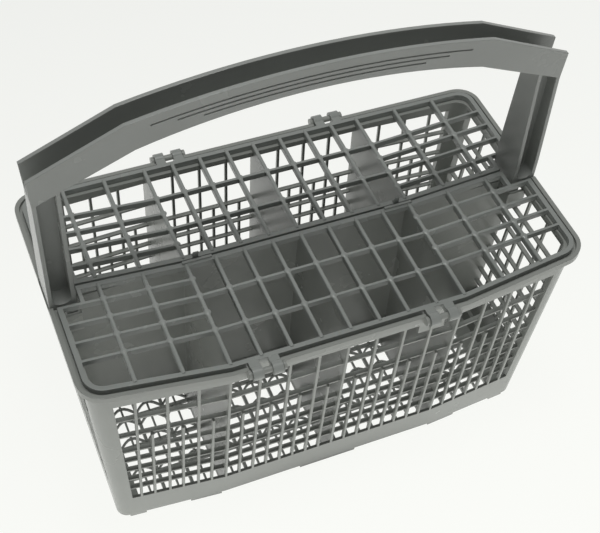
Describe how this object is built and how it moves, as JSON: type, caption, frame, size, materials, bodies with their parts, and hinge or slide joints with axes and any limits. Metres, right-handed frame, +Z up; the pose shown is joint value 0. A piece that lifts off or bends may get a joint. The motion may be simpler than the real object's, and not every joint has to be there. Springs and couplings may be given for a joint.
{
  "type": "dishwasher cutlery basket",
  "caption": "Oblong lattice basket of plastic with inner dividers, two hinged grid lids and a fixed bow handle, which holds cutlery upright in a dishwasher.",
  "frame": {"origin": "middle of the basket on the plane its feet stand on", "axes": "+X along the basket and its handle, +Y to the rear lid, +Z up"},
  "size_m": [0.2394, 0.1384, 0.2203],
  "materials": {
    "basket_grey": "satin moulded polypropylene",
    "handle_grey": "fine-grained moulded polypropylene",
    "lid_grey": "satin moulded polypropylene"
  },
  "bodies": {
    "basket": {"basket": "basket_grey", "handle": "handle_grey"},
    "front_lid": {"front_lid": "lid_grey"},
    "rear_lid": {"rear_lid": "lid_grey"}
  },
  "joints": [
    {"name": "front_lid_hinge", "type": "hinge", "parent": "basket", "child": "front_lid", "pos_m": [0, -0.0662, 0.114], "axis": [1, 0, 0], "range_deg": [0, 105]},
    {"name": "rear_lid_hinge", "type": "hinge", "parent": "basket", "child": "rear_lid", "pos_m": [0, 0.0662, 0.114], "axis": [-1, 0, 0], "range_deg": [0, 105]}
  ]
}
